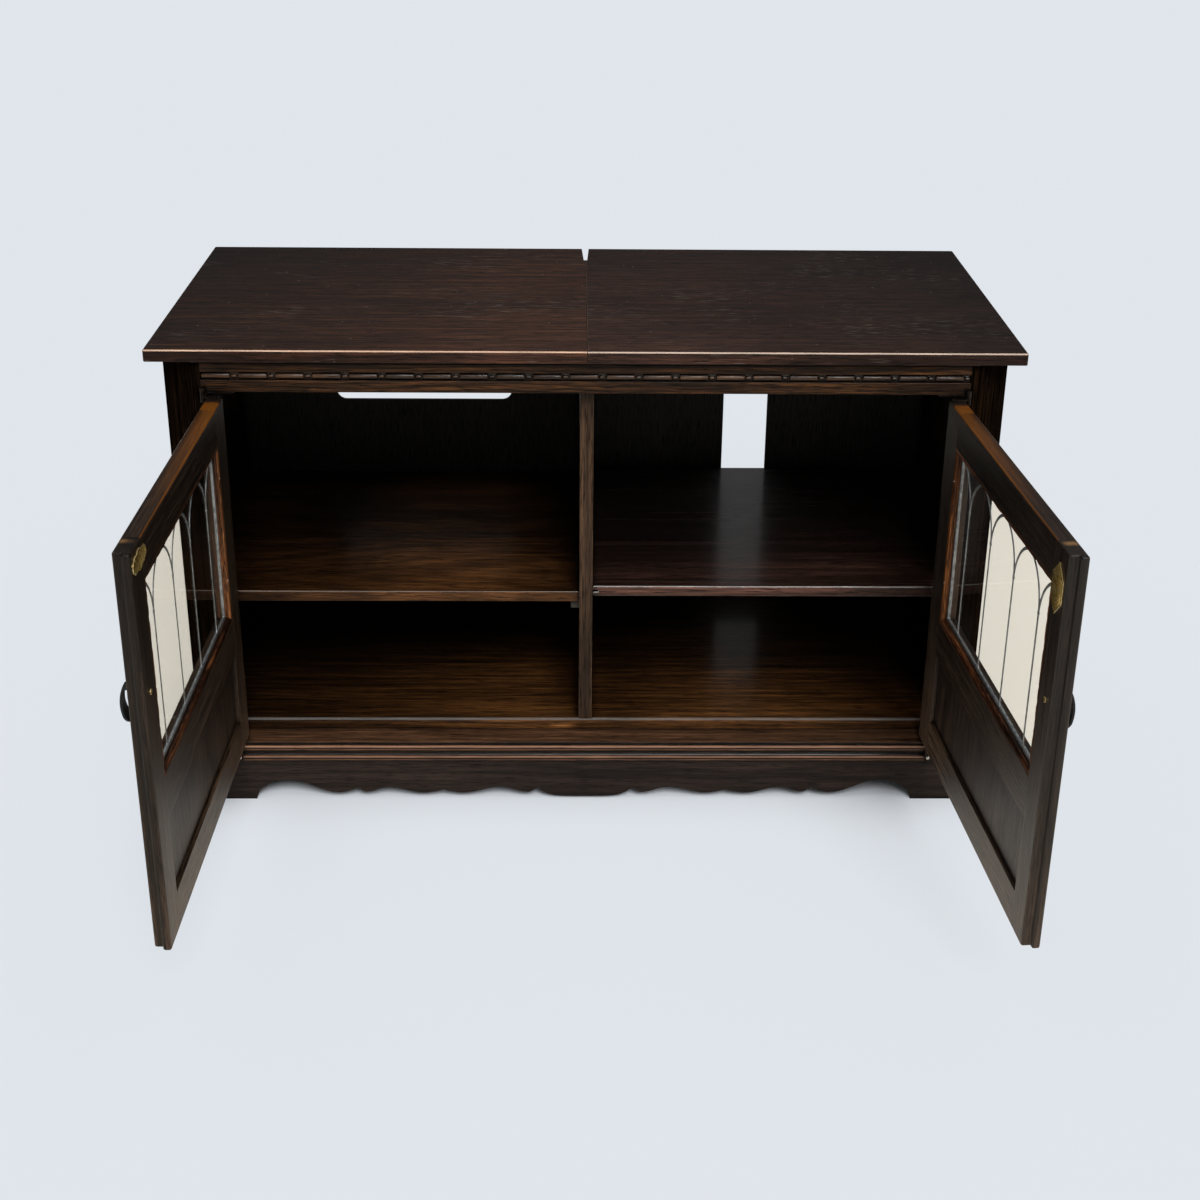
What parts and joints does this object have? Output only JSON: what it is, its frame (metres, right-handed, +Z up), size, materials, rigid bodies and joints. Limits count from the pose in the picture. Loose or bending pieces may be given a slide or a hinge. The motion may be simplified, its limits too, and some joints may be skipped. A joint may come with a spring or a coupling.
{
  "type": "tv cabinet",
  "caption": "Low dark oak cabinet for a television, with open leaded-glass doors, a divided and shelved inside, canted reeded corners, a billet frieze and a scalloped plinth.",
  "frame": {"origin": "On the floor, midway across the width, and midway between the rear edge of the top and the front edges of the doors as they stand open. This is about 11 mm behind the front edge of the top, just behind the carcass face.", "axes": "+X to the right as seen from the front, +Y towards the back, +Z up from the floor."},
  "size_m": [1.074, 0.9538, 0.634],
  "materials": {
    "top_oak": "satin, dark stained, fine grain along the width, light scratches",
    "frame_oak": "satin, dark stained",
    "inner_oak": "satin, dark brown",
    "shelf_oak": "glossy, dark brown",
    "base_oak": "satin, dark stained, rubbed paler on the crests",
    "worn_oak": "satin, rubbed to orange brown on the high points",
    "door_oak": "satin, dark stained, paler on the upper edges",
    "panel_oak": "satin, dark stained",
    "back_board": "matt, dark",
    "glass": "clear",
    "lead": "dull grey lead",
    "brass": "aged",
    "black_iron": "black lacquered",
    "hinge_metal": "dull, slightly tarnished",
    "steel": "plain"
  },
  "bodies": {
    "cabinet": {"top_leaf_left": "top_oak", "top_leaf_right": "top_oak", "sub_top": "frame_oak", "frieze_rail": "frame_oak", "billet_moulding": "worn_oak", "corner_post_left": "frame_oak", "corner_post_right": "frame_oak", "end_panel_left": "frame_oak", "end_panel_right": "frame_oak", "divider": "frame_oak", "bottom_board": "inner_oak", "shelf_left": "inner_oak", "shelf_right": "shelf_oak", "shelf_studs": "steel", "shelf_wires": "steel", "back_panel": "back_board", "back_rail": "frame_oak", "base_moulding_front": "base_oak", "base_moulding_left": "base_oak", "base_moulding_right": "base_oak", "plinth_front": "base_oak", "plinth_left": "base_oak", "plinth_right": "base_oak", "plinth_back": "frame_oak", "leaf_screws": "steel", "back_screws": "steel", "hinge_seat_top_left": "hinge_metal", "hinge_seat_top_right": "hinge_metal", "hinge_seat_bottom_left": "hinge_metal", "hinge_seat_bottom_right": "hinge_metal", "seat_screws": "steel"},
    "left_door": {"hinge_stile_left": "door_oak", "meeting_stile_left": "door_oak", "door_top_rail_left": "door_oak", "door_mid_rail_left": "door_oak", "door_bottom_rail_left": "door_oak", "door_panel_left": "panel_oak", "door_glass_left": "glass", "door_lead_left": "lead", "glazing_beads_left": "worn_oak", "badge_left": "brass", "pull_plate_left": "black_iron", "pull_screw_left": "brass", "door_hinges_left": "hinge_metal"},
    "left_pull": {"drop_pull_left": "black_iron"},
    "right_door": {"hinge_stile_right": "door_oak", "meeting_stile_right": "door_oak", "door_top_rail_right": "door_oak", "door_mid_rail_right": "door_oak", "door_bottom_rail_right": "door_oak", "door_panel_right": "panel_oak", "door_glass_right": "glass", "door_lead_right": "lead", "glazing_beads_right": "worn_oak", "badge_right": "brass", "pull_plate_right": "black_iron", "pull_screw_right": "brass", "door_hinges_right": "hinge_metal"},
    "right_pull": {"drop_pull_right": "black_iron"}
  },
  "joints": [
    {"name": "left_door_hinge", "type": "hinge", "parent": "cabinet", "child": "left_door", "pos_m": [-0.469, -0.00508, 0.336], "axis": [0, 0, -1], "range_deg": [-91, 24]},
    {"name": "right_door_hinge", "type": "hinge", "parent": "cabinet", "child": "right_door", "pos_m": [0.469, -0.00508, 0.336], "axis": [0, 0, 1], "range_deg": [-94, 21]},
    {"name": "left_pull_swing", "type": "hinge", "parent": "left_door", "child": "left_pull", "pos_m": [-0.477, -0.452, 0.4145], "axis": [0.0175, 0.9998, 0], "range_deg": [0, 80]},
    {"name": "right_pull_swing", "type": "hinge", "parent": "right_door", "child": "right_pull", "pos_m": [0.50038, -0.45097, 0.4065], "axis": [0.0698, -0.9976, 0], "range_deg": [0, 80]}
  ]
}
